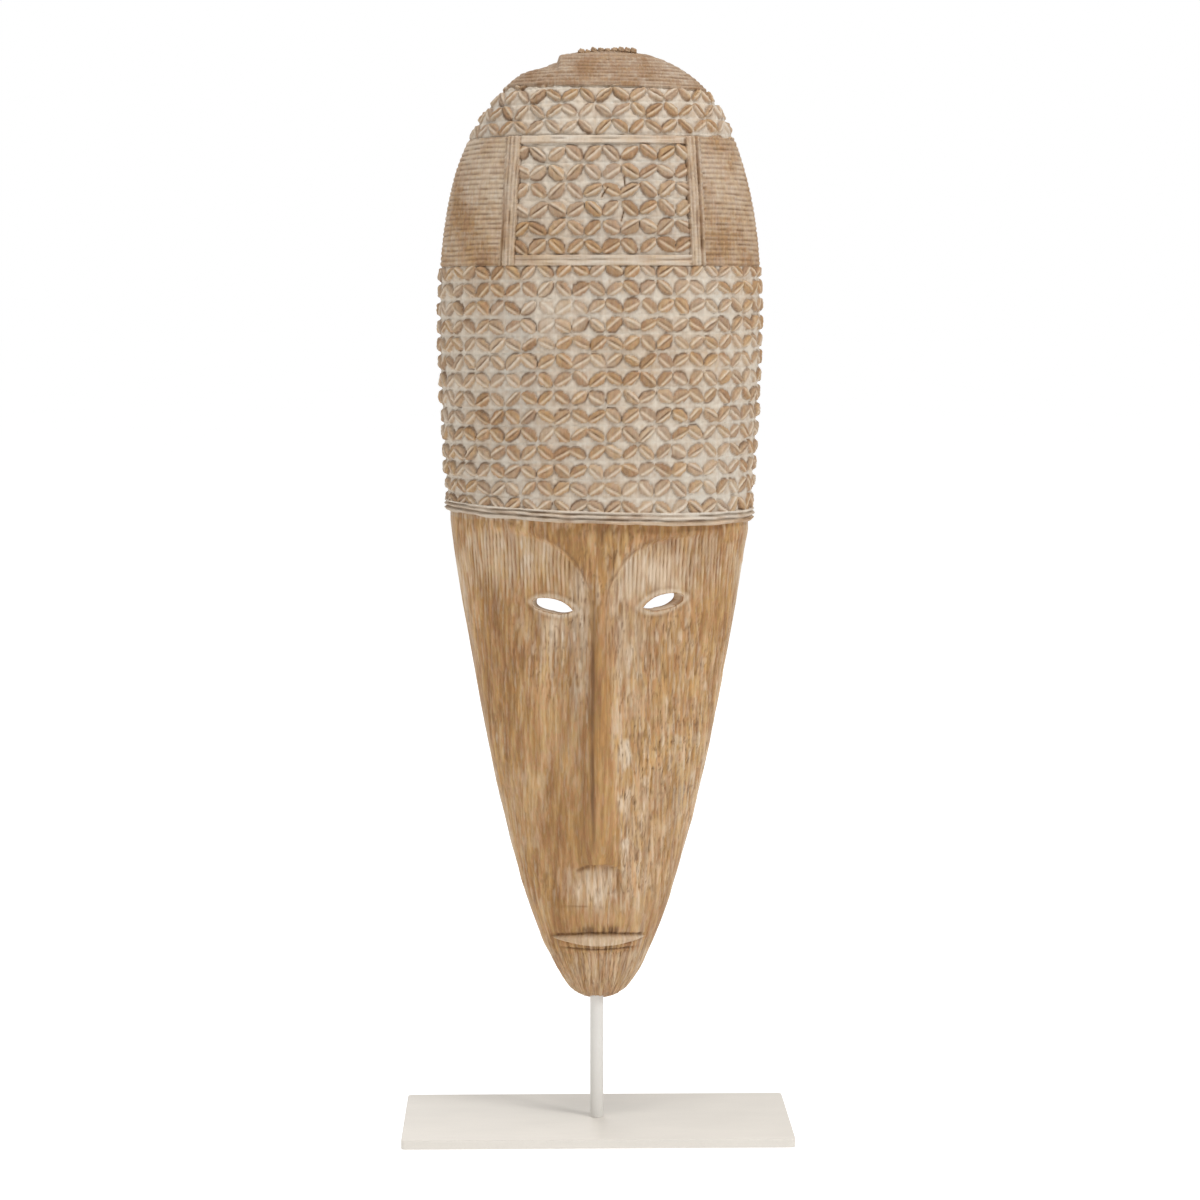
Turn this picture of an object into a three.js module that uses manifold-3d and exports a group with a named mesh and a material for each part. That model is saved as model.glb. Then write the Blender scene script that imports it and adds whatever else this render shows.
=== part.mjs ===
// Carved wooden mask on a small steel stand.
//
// Units are millimetres, +Z is up and the mask faces -Y. The origin is the centre of the stand's
// footprint, on the surface that the stand's foot pads rest on. The rod stands on the Z axis.
import * as THREE from "three";
import { mergeVertices } from "three/addons/utils/BufferGeometryUtils.js";
import Module from "manifold-3d";

const wasm = await Module();
wasm.setup();

// ---- Driving dimensions ----

const PAD_RADIUS = 5;
const PAD_HEIGHT = 1.5;
const PAD_INSET_X = 17; // from the plate's side edge to a pad's centre
const PAD_INSET_Y = 12;

const PLATE_WIDTH = 210;
const PLATE_DEPTH = 95;
const PLATE_THICKNESS = 5;
const PLATE_CORNER_RADIUS = 2;
const PLATE_EDGE_BREAK = 0.5;

const ROD_RADIUS = 3.6;
const ROD_TOP_Z = 118;
const ROD_END_BREAK = 0.6;
const ROD_FOOT_GAP = 0.1; // a hair's breadth, so that the rod turns freely on the plate

const SCREW_RADIUS = 2;
const SCREW_LENGTH = 16;
const SCREW_HEAD_RADIUS = 4;
const SCREW_HEAD_HEIGHT = 2.3;
const SCREW_SOCKET_RADIUS = 1.45;

const CHIN_Z = 69; // lowest point of the mask
const RIM_Z = 336; // underside of the headdress, where it overhangs the face
const DOME_Z = 430; // widest level, where the top of the headdress starts to round over
const TOP_Z = 582.5;
const BACK_Y = 15; // the flat back edge of the mask

const FACE_HALF_WIDTH = 80.5; // just under the rim
const FACE_TAPER = 0.48; // the outline narrows to the chin as height to this power
const FACE_DEPTH = 57; // from the back edge to the forehead
const CHIN_DEPTH = 26;
const CHIN_SLOPE = 9; // height over which the underside of the chin comes forward
const HEADDRESS_HALF_WIDTH = 87;
const HEADDRESS_DEPTH = 62;
const RIM_HALF_WIDTH = 82.4;
const SECTION_POWER = 2.3; // each level's outline is half a superellipse of this power
const LEAN_AT_CHIN = 0.9; // the carving leans a little to +X, and its dome a little more
const LEAN_PER_MM = 0.0032;
const LEAN_OF_DOME = 2.2;

const RIM_BAND_HEIGHT = 5; // a plain band round the headdress's lower edge, under a groove
const RIM_GROOVE_DEPTH = 1.4;

// The framed panel on the headdress, which narrows upwards.
const PANEL_BOTTOM_Z = 469.5;
const PANEL_TOP_Z = 536;
const PANEL_LEFT = { bottom: -50.6, top: -47 };
const PANEL_RIGHT = { bottom: 55.7, top: 52.7 };
const PANEL_STRIP_WIDTH = 6.8;
const PANEL_LOWER_BAND = 4.6;
const PANEL_UPPER_BAND = 4.2;
const PANEL_FRAME_HEIGHT = 1;

// The raised crest on top and the row of beads along it.
const CREST_LEFT = -20;
const CREST_RIGHT = 26;
const CREST_FRONT_Y = 2;
const CREST_BOTTOM_Z = 572;
const CREST_TOP_Z = 582.9;
const BEAD_COUNT = 8;
const BEAD_RADIUS = 2.1;
const BEAD_FIRST_X = -5;
const BEAD_PITCH = 3.5;

const WALL_SIDE = 12; // wood left beside and in front of the hollow back
const WALL_FRONT = 14;
const HOLLOW_BOTTOM_Z = 128;
const HOLLOW_TOP_Z = 566;

const BROW_Z = 332; // where the two brow arches run out under the rim
const BROW_DROP = 47; // how far they fall to the bridge of the nose
const BROW_SPREAD = 13.5;
const SOCKET_DEPTH = 6;

const NOSE_TIP_Z = 151;
const NOSE_BRIDGE_Z = 304;
const NOSE_TIP_HALF_WIDTH = 12;
const NOSE_BRIDGE_HALF_WIDTH = 5;
const NOSE_TIP_HEIGHT = 12.5;
const NOSE_BRIDGE_HEIGHT = 5.5;

const MOUTH_X = 0.9;
const MOUTH_Z = 107;
const MOUTH_HALF_LENGTH = 25.4;
const MOUTH_HALF_HEIGHT = 4;
const MOUTH_HEIGHT = 2.8;

// The eye slits are cut by hand, so they differ a little. tilt lifts the outer corner, and each
// slit leans towards the middle of the face and up as it goes in through the wall.
const EYES = [
  { side: -1, x: 24.2, z: 289.4, leanX: 4.5, leanZ: 0.5, tilt: 9, halfHeight: 4.4 },
  { side: 1, x: 35.4, z: 291.2, leanX: 6.5, leanZ: 1.4, tilt: 11, halfHeight: 4.8 },
];
const EYE_HALF_LENGTH = 11.2;
const EYE_FACE_Y = -30; // the face's surface at the slits
const EYE_INNER_SCALE = 0.94; // the slit narrows towards the back

const CLEARANCE = 0.3; // between pieces that touch on the real object
const ROUND_SEGMENTS = 32;

const plateTopZ = PAD_HEIGHT + PLATE_THICKNESS;

// ---- Small maths ----

const clamp01 = (value) => Math.min(1, Math.max(0, value));
const mix = (a, b, share) => a + (b - a) * share;
const smooth = (low, high, value) => {
  const t = clamp01((value - low) / (high - low));
  return t * t * (3 - 2 * t);
};
const steps = (from, to, count) =>
  Array.from({ length: count }, (_, i) => mix(from, to, i / count));

// ---- The mask's outline and depth at each level ----

const rimGroove = (z) => {
  const above = z - RIM_Z - RIM_BAND_HEIGHT;
  return RIM_GROOVE_DEPTH * Math.exp(-(above ** 2));
};
const faceShare = (z) => clamp01((z - CHIN_Z) / (RIM_Z - 6 - CHIN_Z));
const domeShare = (z) => clamp01((z - DOME_Z) / (TOP_Z - DOME_Z));

function halfWidth(z) {
  if (z < RIM_Z) return FACE_HALF_WIDTH * faceShare(z) ** FACE_TAPER;
  if (z < DOME_Z) {
    const below = (DOME_Z - z) / (DOME_Z - RIM_Z);
    return mix(HEADDRESS_HALF_WIDTH, RIM_HALF_WIDTH, below ** 1.3) - rimGroove(z);
  }
  return HEADDRESS_HALF_WIDTH * (1 - domeShare(z) ** 2.6) ** 0.4;
}

function depth(z) {
  if (z >= RIM_Z) return HEADDRESS_DEPTH * (1 - domeShare(z) ** 3) ** 0.4 - rimGroove(z);
  const share = faceShare(z);
  const chinRounding = 1 - 0.12 * (1 - smooth(0, 0.08, share));
  const underside = 1 - (1 - clamp01((z - CHIN_Z) / CHIN_SLOPE)) ** 1.6;
  return mix(CHIN_DEPTH, FACE_DEPTH, share ** 0.8) * chinRounding * underside;
}

// The x of the mask's middle.
const lean = (z) =>
  LEAN_AT_CHIN + LEAN_PER_MM * (z - CHIN_Z) + LEAN_OF_DOME * smooth(515, 575, z);

// The y of the mask's front surface, before any carving.
function frontY(x, z) {
  const across = clamp01(Math.abs(x - lean(z)) / halfWidth(z));
  return BACK_Y - depth(z) * (1 - across ** SECTION_POWER) ** (1 / SECTION_POWER);
}

// ---- What is carved into the face, as a height over the plain curved surface ----

function browAndSockets(x, z) {
  const arch = BROW_Z - BROW_DROP * Math.exp(-Math.abs(x) / BROW_SPREAD);
  const below = smooth(-1, 7, arch - z);
  const acrossFade = Math.exp(-(((Math.abs(x) - 20) / 34) ** 2));
  const downFade = z > 285 ? 1 : Math.exp(-(((z - 285) / 55) ** 2));
  return -SOCKET_DEPTH * below * acrossFade * downFade;
}

function nose(x, z) {
  const share = clamp01((NOSE_BRIDGE_Z - z) / (NOSE_BRIDGE_Z - NOSE_TIP_Z));
  const halfWide = mix(NOSE_BRIDGE_HALF_WIDTH, NOSE_TIP_HALF_WIDTH, share ** 1.2);
  const high = mix(NOSE_BRIDGE_HEIGHT, NOSE_TIP_HEIGHT, share);
  const section = 1 - smooth(0.1, 1.15, Math.abs(x) / halfWide);
  const topFade = 1 - smooth(NOSE_BRIDGE_Z - 5, NOSE_BRIDGE_Z + 20, z);
  const underside = smooth(NOSE_TIP_Z - 2, NOSE_TIP_Z + 2, z);
  return high * section * topFade * underside;
}

function mouth(x, z) {
  const lens = MOUTH_HALF_HEIGHT * (1 - clamp01(Math.abs(x - MOUTH_X) / MOUTH_HALF_LENGTH) ** 2);
  if (lens <= 0) return 0;
  const across = Math.abs(z - MOUTH_Z) / lens;
  const lip = MOUTH_HEIGHT * (1 - smooth(0.4, 1, across));
  const groove = -1.5 * Math.exp(-(((across - 1.3) / 0.35) ** 2));
  return (lip + groove) * Math.min(1, lens / 2);
}

function carving(x, z) {
  if (z >= RIM_Z - 1) return 0;
  return browAndSockets(x, z) + nose(x, z) + mouth(x, z);
}

// ---- Solids ----

// The triangles that close one ring, zigzagging between the points on its two sides.
function endCap(first, count, facesUp) {
  const triangles = [];
  for (let low = 0, high = count - 1; low + 1 < high; low++, high--) {
    triangles.push([low, low + 1, high]);
    if (low + 1 < high - 1) triangles.push([low + 1, high - 1, high]);
  }
  const wound = triangles.flatMap(([a, b, c]) => (facesUp ? [a, b, c] : [b, a, c]));
  return wound.map((corner) => first + corner);
}

// A closed surface through rings of points, which all have the same number of points and run
// anticlockwise when seen from beyond the last ring.
function loft(rings) {
  const count = rings[0].length;
  const index = [];
  for (let row = 0; row + 1 < rings.length; row++) {
    for (let i = 0; i < count; i++) {
      const a = row * count + i;
      const b = row * count + ((i + 1) % count);
      const leansLeft = i < count / 2;
      if (leansLeft) index.push(a, b, b + count, a, b + count, a + count);
      else index.push(a, b, a + count, b, b + count, a + count);
    }
  }
  index.push(...endCap(0, count, false));
  index.push(...endCap((rings.length - 1) * count, count, true));
  const geometry = new THREE.BufferGeometry();
  geometry.setFromPoints(rings.flat());
  geometry.setIndex(index);
  return geometry;
}

// One level of the mask: a flat back edge and half a superellipse in front of it.
function section(z, halfWide, deep, relief, columns) {
  const ring = [];
  for (let i = 0; i <= columns; i++) {
    const angle = Math.PI * (i / columns - 0.5);
    const reach = Math.sign(angle) * Math.abs(Math.sin(angle)) ** (2 / SECTION_POWER);
    const x = lean(z) + halfWide * reach;
    const forward = deep * Math.abs(Math.cos(angle)) ** (2 / SECTION_POWER);
    const facing = smooth(0, 0.6, Math.cos(angle));
    ring.push(new THREE.Vector3(x, BACK_Y - forward - relief(x, z) * facing, z));
  }
  return ring;
}

function solid(geometry) {
  const plain = geometry.index ? geometry.toNonIndexed() : geometry.clone();
  plain.deleteAttribute("normal");
  plain.deleteAttribute("uv");
  const merged = mergeVertices(plain, 1e-4);
  return new wasm.Manifold(
    new wasm.Mesh({
      numProp: 3,
      vertProperties: merged.attributes.position.array,
      triVerts: new Uint32Array(merged.index.array),
    }),
  );
}

function geometryOf(manifold) {
  const mesh = manifold.getMesh();
  const geometry = new THREE.BufferGeometry();
  geometry.setAttribute("position", new THREE.Float32BufferAttribute(mesh.vertProperties, 3));
  geometry.setIndex(new THREE.BufferAttribute(mesh.triVerts, 1));
  geometry.computeVertexNormals();
  return geometry;
}

// A body turned about the Z axis from [radius, z] corners, listed bottom to top on the outside.
function turned(corners, segments = ROUND_SEGMENTS) {
  const profile = corners.map(([radius, z]) => new THREE.Vector2(radius, z));
  return new THREE.LatheGeometry(profile, segments).rotateX(Math.PI / 2);
}

// ---- The mask ----

function maskBlank() {
  const columns = 36;
  const levels = [
    ...steps(CHIN_Z + 0.15, CHIN_Z + CHIN_SLOPE, 7),
    ...steps(CHIN_Z + CHIN_SLOPE, MOUTH_Z - 6, 6),
    ...steps(MOUTH_Z - 6, MOUTH_Z + 7, 10),
    ...steps(MOUTH_Z + 7, NOSE_TIP_Z - 2, 4),
    ...steps(NOSE_TIP_Z - 2, NOSE_TIP_Z + 3, 3),
    ...steps(NOSE_TIP_Z + 3, 270, 9),
    ...steps(270, RIM_Z - 2, 15),
    RIM_Z - 1,
    RIM_Z,
    ...steps(RIM_Z + RIM_BAND_HEIGHT - 1.5, RIM_Z + RIM_BAND_HEIGHT + 1.5, 4),
    ...steps(RIM_Z + RIM_BAND_HEIGHT + 1.5, DOME_Z, 3),
    ...steps(DOME_Z, TOP_Z - 20, 7),
    ...steps(TOP_Z - 20, TOP_Z, 6),
    TOP_Z - 0.3,
  ];
  return loft(levels.map((z) => section(z, halfWidth(z), depth(z), carving, columns)));
}

// The hollow back follows the outside at the wall's thickness and rounds off at both ends.
function hollowTool() {
  const middle = (HOLLOW_BOTTOM_Z + HOLLOW_TOP_Z) / 2;
  const half = (HOLLOW_TOP_Z - HOLLOW_BOTTOM_Z) / 2;
  const rings = [];
  for (let i = 0; i <= 26; i++) {
    const along = Math.sin(Math.PI * (i / 26 - 0.5)) * 0.9995;
    const z = middle + half * along;
    const ends = (1 - Math.abs(along) ** 5) ** 0.4;
    const wide = Math.max(1, (halfWidth(z) - WALL_SIDE) * ends);
    const deep = Math.max(1, (depth(z) - WALL_FRONT) * ends);
    const ring = section(z, wide, deep, () => 0, 20);
    const pastBack = new THREE.Vector3(0, 4, 0); // so that the tool cuts through the back edge
    ring.push(ring.at(-1).clone().add(pastBack), ring[0].clone().add(pastBack));
    rings.push(ring);
  }
  return loft(rings);
}

// The x of one of the panel's sides at a level.
function panelSide({ bottom, top }, z) {
  return mix(bottom, top, (z - PANEL_BOTTOM_Z) / (PANEL_TOP_Z - PANEL_BOTTOM_Z));
}

// A flat-topped strip that follows the front surface and stands proud of it by height. Its sides
// are given as functions of the level.
function raisedStrip(lowSide, highSide, zLow, zHigh, height) {
  const columns = Math.ceil((highSide(zLow) - lowSide(zLow)) / 8);
  const rows = Math.ceil((zHigh - zLow) / 8);
  const zs = [...steps(zLow, zHigh, rows), zHigh];
  const rings = zs.map((z) => {
    const xs = [...steps(lowSide(z), highSide(z), columns), highSide(z)];
    const outer = xs.map((x) => new THREE.Vector3(x, frontY(x, z) - height, z));
    const inner = xs.map((x) => new THREE.Vector3(x, frontY(x, z) + 3, z));
    return [...outer, ...inner.reverse()];
  });
  return loft(rings);
}

// Two upright strips and, a little lower, a band along the top and the bottom between them.
function panelFrame() {
  const left = (z) => panelSide(PANEL_LEFT, z);
  const right = (z) => panelSide(PANEL_RIGHT, z);
  const innerLeft = (z) => left(z) + PANEL_STRIP_WIDTH;
  const innerRight = (z) => right(z) - PANEL_STRIP_WIDTH;
  const bandLeft = (z) => innerLeft(z) - 0.5;
  const bandRight = (z) => innerRight(z) + 0.5;
  const [bottom, top] = [PANEL_BOTTOM_Z, PANEL_TOP_Z];
  const bandHeight = 0.8 * PANEL_FRAME_HEIGHT;
  return [
    raisedStrip(left, innerLeft, bottom, top, PANEL_FRAME_HEIGHT),
    raisedStrip(innerRight, right, bottom, top, PANEL_FRAME_HEIGHT),
    raisedStrip(bandLeft, bandRight, bottom, bottom + PANEL_LOWER_BAND, bandHeight),
    raisedStrip(bandLeft, bandRight, top - PANEL_UPPER_BAND, top, bandHeight),
  ];
}

// A low block with a rounded top, stepping up from the dome, and beads in a row on it.
function crest() {
  const deep = BACK_Y - CREST_FRONT_Y;
  const high = CREST_TOP_Z - CREST_BOTTOM_Z;
  const block = new THREE.BoxGeometry(CREST_RIGHT - CREST_LEFT, deep, high);
  const middleX = (CREST_LEFT + CREST_RIGHT) / 2;
  block.translate(middleX, BACK_Y - deep / 2, CREST_BOTTOM_Z + high / 2);
  const beads = Array.from({ length: BEAD_COUNT }, (_, i) => {
    const bead = new THREE.SphereGeometry(BEAD_RADIUS, 10, 6).rotateX(Math.PI / 2);
    return bead.translate(BEAD_FIRST_X + BEAD_PITCH * i, CREST_FRONT_Y + 1, CREST_TOP_Z);
  });
  return [block, ...beads];
}

// A lens-shaped slit, cut from the hollow out to well in front of the face.
function eyeTool({ side, x, z, leanX, leanZ, tilt, halfHeight }) {
  const slope = Math.tan(THREE.MathUtils.degToRad(tilt));
  const count = 20;
  const ringAt = (y) => {
    const back = (y - EYE_FACE_Y) / WALL_FRONT;
    const scale = mix(1, EYE_INNER_SCALE, back);
    return steps(0, 2 * Math.PI * side, count).map((angle) => {
      const lens = Math.sign(Math.sin(angle)) * Math.abs(Math.sin(angle)) ** 1.4;
      const out = EYE_HALF_LENGTH * scale * Math.cos(angle);
      const up = back * leanZ + out * slope + halfHeight * scale * lens;
      return new THREE.Vector3(side * (x - back * leanX + out), y, z + up);
    });
  };
  return loft([ringAt(EYE_FACE_Y + 2 * WALL_FRONT), ringAt(EYE_FACE_Y - WALL_FRONT)]);
}

function maskGeometry() {
  const bore = turned([
    [0, CHIN_Z - 5],
    [ROD_RADIUS + CLEARANCE, CHIN_Z - 5],
    [ROD_RADIUS + CLEARANCE, ROD_TOP_Z + CLEARANCE],
    [0, ROD_TOP_Z + CLEARANCE],
  ]);
  let mask = solid(maskBlank());
  for (const raised of [...panelFrame(), ...crest()]) mask = mask.add(solid(raised));
  mask = mask.subtract(solid(hollowTool()));
  for (const eye of EYES) mask = mask.subtract(solid(eyeTool(eye)));
  return geometryOf(mask.subtract(solid(bore)));
}

// ---- The stand ----

// A plain round rod, bored from below for its screw.
function rodGeometry() {
  const bore = SCREW_RADIUS + CLEARANCE;
  const boreTop = PAD_HEIGHT + SCREW_LENGTH + 2;
  const foot = plateTopZ + ROD_FOOT_GAP;
  return turned([
    [0, boreTop],
    [bore, boreTop - bore],
    [bore, foot],
    [ROD_RADIUS, foot],
    [ROD_RADIUS, ROD_TOP_Z - ROD_END_BREAK],
    [ROD_RADIUS - ROD_END_BREAK, ROD_TOP_Z],
    [0, ROD_TOP_Z],
  ]);
}

// The countersunk screw that holds the rod from under the plate, with a hexagon socket.
function screwGeometry() {
  const bottom = PAD_HEIGHT;
  const body = turned([
    [0, bottom],
    [SCREW_HEAD_RADIUS, bottom],
    [SCREW_RADIUS, bottom + SCREW_HEAD_HEIGHT],
    [SCREW_RADIUS, bottom + SCREW_LENGTH - 1],
    [SCREW_RADIUS - 1, bottom + SCREW_LENGTH],
    [0, bottom + SCREW_LENGTH],
  ]);
  const socket = turned(
    [
      [0, bottom - 1],
      [SCREW_SOCKET_RADIUS, bottom - 1],
      [SCREW_SOCKET_RADIUS, bottom + 1.6],
      [0, bottom + 1.6],
    ],
    6,
  );
  return geometryOf(solid(body).subtract(solid(socket)));
}

function plateOutline() {
  const x = PLATE_WIDTH / 2 - PLATE_EDGE_BREAK;
  const y = PLATE_DEPTH / 2 - PLATE_EDGE_BREAK;
  const r = PLATE_CORNER_RADIUS - PLATE_EDGE_BREAK;
  const outline = new THREE.Shape();
  outline.absarc(x - r, y - r, r, 0, Math.PI / 2);
  outline.absarc(r - x, y - r, r, Math.PI / 2, Math.PI);
  outline.absarc(r - x, r - y, r, Math.PI, 1.5 * Math.PI);
  outline.absarc(x - r, r - y, r, 1.5 * Math.PI, 2 * Math.PI);
  return outline;
}

// A flat plate with a broken edge all round and a countersunk hole at its centre.
function plateGeometry() {
  const plate = new THREE.ExtrudeGeometry(plateOutline(), {
    depth: PLATE_THICKNESS - 2 * PLATE_EDGE_BREAK,
    bevelSize: PLATE_EDGE_BREAK,
    bevelThickness: PLATE_EDGE_BREAK,
    bevelSegments: 2,
    curveSegments: 4,
  }).translate(0, 0, PAD_HEIGHT + PLATE_EDGE_BREAK);
  const hole = SCREW_RADIUS + CLEARANCE;
  const head = SCREW_HEAD_RADIUS + 2 * CLEARANCE;
  const countersink = turned([
    [0, PAD_HEIGHT - 1],
    [head + 1, PAD_HEIGHT - 1],
    [hole, PAD_HEIGHT + head - hole],
    [hole, plateTopZ + 1],
    [0, plateTopZ + 1],
  ]);
  return geometryOf(solid(plate).subtract(solid(countersink)));
}

function padGeometry() {
  const edge = 0.3;
  return turned(
    [
      [0, 0],
      [PAD_RADIUS - edge, 0],
      [PAD_RADIUS, edge],
      [PAD_RADIUS, PAD_HEIGHT],
      [0, PAD_HEIGHT],
    ],
    24,
  );
}

// ---- The assembly ----

const WOOD = { color: 0xb08d68, roughness: 0.8, metalness: 0 };
const PAINT = { color: 0xdfd7cd, roughness: 0.5, metalness: 0 };
const STEEL = { color: 0xa8a8a6, roughness: 0.35, metalness: 1 };
const RUBBER = { color: 0x8b8983, roughness: 0.7, metalness: 0 };

function piece(name, geometry, finish) {
  const mesh = new THREE.Mesh(geometry, new THREE.MeshStandardMaterial(finish));
  mesh.name = name;
  return mesh;
}

const stand = new THREE.Group();
stand.add(piece("base_plate", plateGeometry(), PAINT));
for (const [depthName, sideY] of [["front", -1], ["rear", 1]]) {
  for (const [widthName, sideX] of [["left", -1], ["right", 1]]) {
    const pad = piece(`foot_pad_${depthName}_${widthName}`, padGeometry(), RUBBER);
    pad.position.x = sideX * (PLATE_WIDTH / 2 - PAD_INSET_X);
    pad.position.y = sideY * (PLATE_DEPTH / 2 - PAD_INSET_Y);
    stand.add(pad);
  }
}

const rod = new THREE.Group();
rod.add(piece("stand_rod", rodGeometry(), PAINT));
rod.add(piece("rod_screw", screwGeometry(), STEEL));

const head = new THREE.Group();
head.add(piece("mask", maskGeometry(), WOOD));

const carvedMask = new THREE.Group();
carvedMask.add(stand, rod, head);

export default carvedMask;
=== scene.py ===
"""Carved wooden mask on a painted steel stand: the looks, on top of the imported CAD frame.

The mask is rebuilt as one fine mesh of rings, its petals, panel, ledge and tool marks displaced along
the surface. Sizes are in millimetres until a mesh is made, the mask faces -Y and +Z is up.
"""
import math
from collections import namedtuple

import bmesh
import bpy
import numpy as np
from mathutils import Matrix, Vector


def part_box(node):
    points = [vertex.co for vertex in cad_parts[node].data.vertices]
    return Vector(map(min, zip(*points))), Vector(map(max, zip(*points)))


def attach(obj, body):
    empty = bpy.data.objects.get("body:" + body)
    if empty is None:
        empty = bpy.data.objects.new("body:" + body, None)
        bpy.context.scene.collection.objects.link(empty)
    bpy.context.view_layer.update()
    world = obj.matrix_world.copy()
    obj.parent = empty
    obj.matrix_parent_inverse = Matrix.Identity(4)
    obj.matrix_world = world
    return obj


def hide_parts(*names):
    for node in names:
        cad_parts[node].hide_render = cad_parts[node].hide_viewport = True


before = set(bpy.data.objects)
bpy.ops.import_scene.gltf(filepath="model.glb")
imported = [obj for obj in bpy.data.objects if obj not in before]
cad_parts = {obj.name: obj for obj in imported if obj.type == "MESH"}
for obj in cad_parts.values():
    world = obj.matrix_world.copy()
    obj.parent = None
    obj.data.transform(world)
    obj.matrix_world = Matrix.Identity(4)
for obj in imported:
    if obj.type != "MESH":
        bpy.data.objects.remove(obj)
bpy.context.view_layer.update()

MM = 0.001

# ---- The mask's driving sizes ----

mask_low, mask_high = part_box("mask")
CHIN_Z = round(mask_low[2] / MM)
BACK_Y = round(mask_high[1] / MM)
RIM_Z = 336.0  # underside of the headdress, where it overhangs the face
FACE_TOP_Z = RIM_Z - 0.6  # the face's carving ends just under the overhang
DOME_Z = 430.0  # widest level, where the headdress starts to round over
TOP_Z = 582.5

FACE_HALF_WIDTH = 80.5
FACE_TAPER = 0.48
FACE_DEPTH = 57.0
CHIN_DEPTH = 26.0
CHIN_SLOPE = 9.0  # height over which the underside of the chin comes forward
CHIN_FAN_Z = 120.0  # below this the strokes draw together
HEADDRESS_HALF_WIDTH = 87.0
HEADDRESS_DEPTH = 62.0
RIM_HALF_WIDTH = 82.4
SECTION_POWER = 2.3
LEAN_AT_CHIN = 0.9  # the carving leans a little to +X
LEAN_PER_MM = 0.0032
LEAN_OF_DOME = 2.2

WALL_SIDE = 12.0
WALL_FRONT = 14.0
HOLLOW_BOTTOM_Z = 128.0
HOLLOW_TOP_Z = 566.0
GOUGE_WIDTH = 11.0  # of the dishes that the gouge leaves in the hollow
GOUGE_LENGTH = 36.0

RIM_BAND = 5.6
LEDGE_FALL = 0.036  # the ledge runs down towards +X
LEDGE_SAG = 1.6  # and hangs lower in the middle than at its ends
LEDGE_REACH = 14.0  # height over which the slant dies out above and below it
PANEL_BOTTOM_Z = 469.5
PANEL_TOP_Z = 536.0
PANEL_LEFT = (-50.6, -47.0)  # outer edge at the panel's bottom and top
PANEL_RIGHT = (55.7, 52.7)
PANEL_STRIP = 6.8  # width of the upright strips
PANEL_ROWS = 6
PANEL_LOWER_BAND = 4.6
PANEL_UPPER_BAND = 4.2
CAP_Z = 562.6  # where the petals end and the combed top of the dome starts
CAP_SLOPE = 0.02  # that line falls towards +X
CREST_LEFT = -20.5
CREST_STEP = 3.0
CRACKS = ((13.6, 512.5, 0.0), (3.3, 506.4, 0.64), (12.5, 494.0, 0.1))  # in the panel: x, z and slant
CRACK_HALF_LENGTH = 3.2
WORN_PATCHES = ((-18.0, 437.0), (-4.0, 357.0))  # where handling has dulled the petals: s and z

PETAL_PITCH = 8.9
PETAL_ROW = 9.41
PETAL_START_Z = 339.0
PANEL_PETAL_PITCH = 9.5
UPPER_ROW = 8.4
SIDE_COMB = 2.65  # spacing of the combed lines beside the panel
CAP_COMB = 1.95  # and of those on the cap
FLUTE_PITCH = 2.15  # of the flutes in the eye sockets

BROW_Z = 332.0
BROW_DROP = 47.0
BROW_SPREAD = 13.5
NOSE_BASE_Z = 152.0
NOSE_TOP_Z = 304.0
MOUTH_Z = 107.0
MOUTH_X = 0.9
MOUTH_HALF_LENGTH = 26.0
MOUTH_HALF_HEIGHT = 2.9

rod_low, rod_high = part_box("stand_rod")
ROD_RADIUS = round((rod_high[0] - rod_low[0]) / 2 / MM, 1)
ROD_TOP_Z = round(rod_high[2] / MM)
BORE_CLEARANCE = 0.3

BEADS = 9
BEAD_PITCH = 3.5
FIRST_BEAD_X = -8.5
BEAD_Y = 3.5

EYES = [  # centre at the face, lean of the slit towards the middle and up as it goes in, tilt
    {"side": -1, "x": 24.2, "z": 289.4, "lean_x": 4.5, "lean_z": 0.5, "tilt": 9.0, "high": 4.4},
    {"side": 1, "x": 35.4, "z": 291.2, "lean_x": 6.5, "lean_z": 1.4, "tilt": 11.0, "high": 4.8},
]
EYE_HALF_LENGTH = 11.2
EYE_FACE_Y = -30.0
EYE_CUT_REACH = 25.0  # how far the cutter goes to either side of it

COLUMNS = 400  # around the front
RIM_COLUMNS = 8  # across each back edge
HOLLOW_COLUMNS = 130  # around the hollow back
SHARP_DEGREES = 62  # edges steeper than this stay crisp

SEED = 20

# ---- The studio, in metres ----

SKY_STRENGTH = 0.38
FLOOR_GLOW = 0.83
FLOOR_RADIUS = 40
FLOOR_DROP = 0.0002  # the floor lies just under the pads
LIGHT_TARGET = (0, 0, 0.33)
CAMERA_PLACE = (-0.0335, -1.6168, 0.4459)
CAMERA_YAW = math.radians(1.25)
CAMERA_PITCH = math.radians(5.5)  # downwards
CAMERA_LENS = 90.54  # mm, on a sensor 36 mm wide


# ---- Small maths on arrays ----

def smooth(low, high, value):
    t = np.clip((value - low) / (high - low), 0, 1)
    return t * t * (3 - 2 * t)


def bump(value, width):
    return np.exp(-((value / width) ** 2))


def mix(a, b, share):
    return a + (b - a) * share


def noise(u, v, seed):
    """Smooth noise from 0 to 1, one random value at each whole (u, v)."""
    table = np.random.RandomState(SEED + seed).rand(256, 256)
    iu, iv = np.floor(u).astype(int), np.floor(v).astype(int)
    fu, fv = u - iu, v - iv
    fu, fv = fu * fu * (3 - 2 * fu), fv * fv * (3 - 2 * fv)
    iu0, iv0, iu1, iv1 = iu % 256, iv % 256, (iu + 1) % 256, (iv + 1) % 256
    low = mix(table[iu0, iv0], table[iu1, iv0], fu)
    high = mix(table[iu0, iv1], table[iu1, iv1], fu)
    return mix(low, high, fv)


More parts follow.
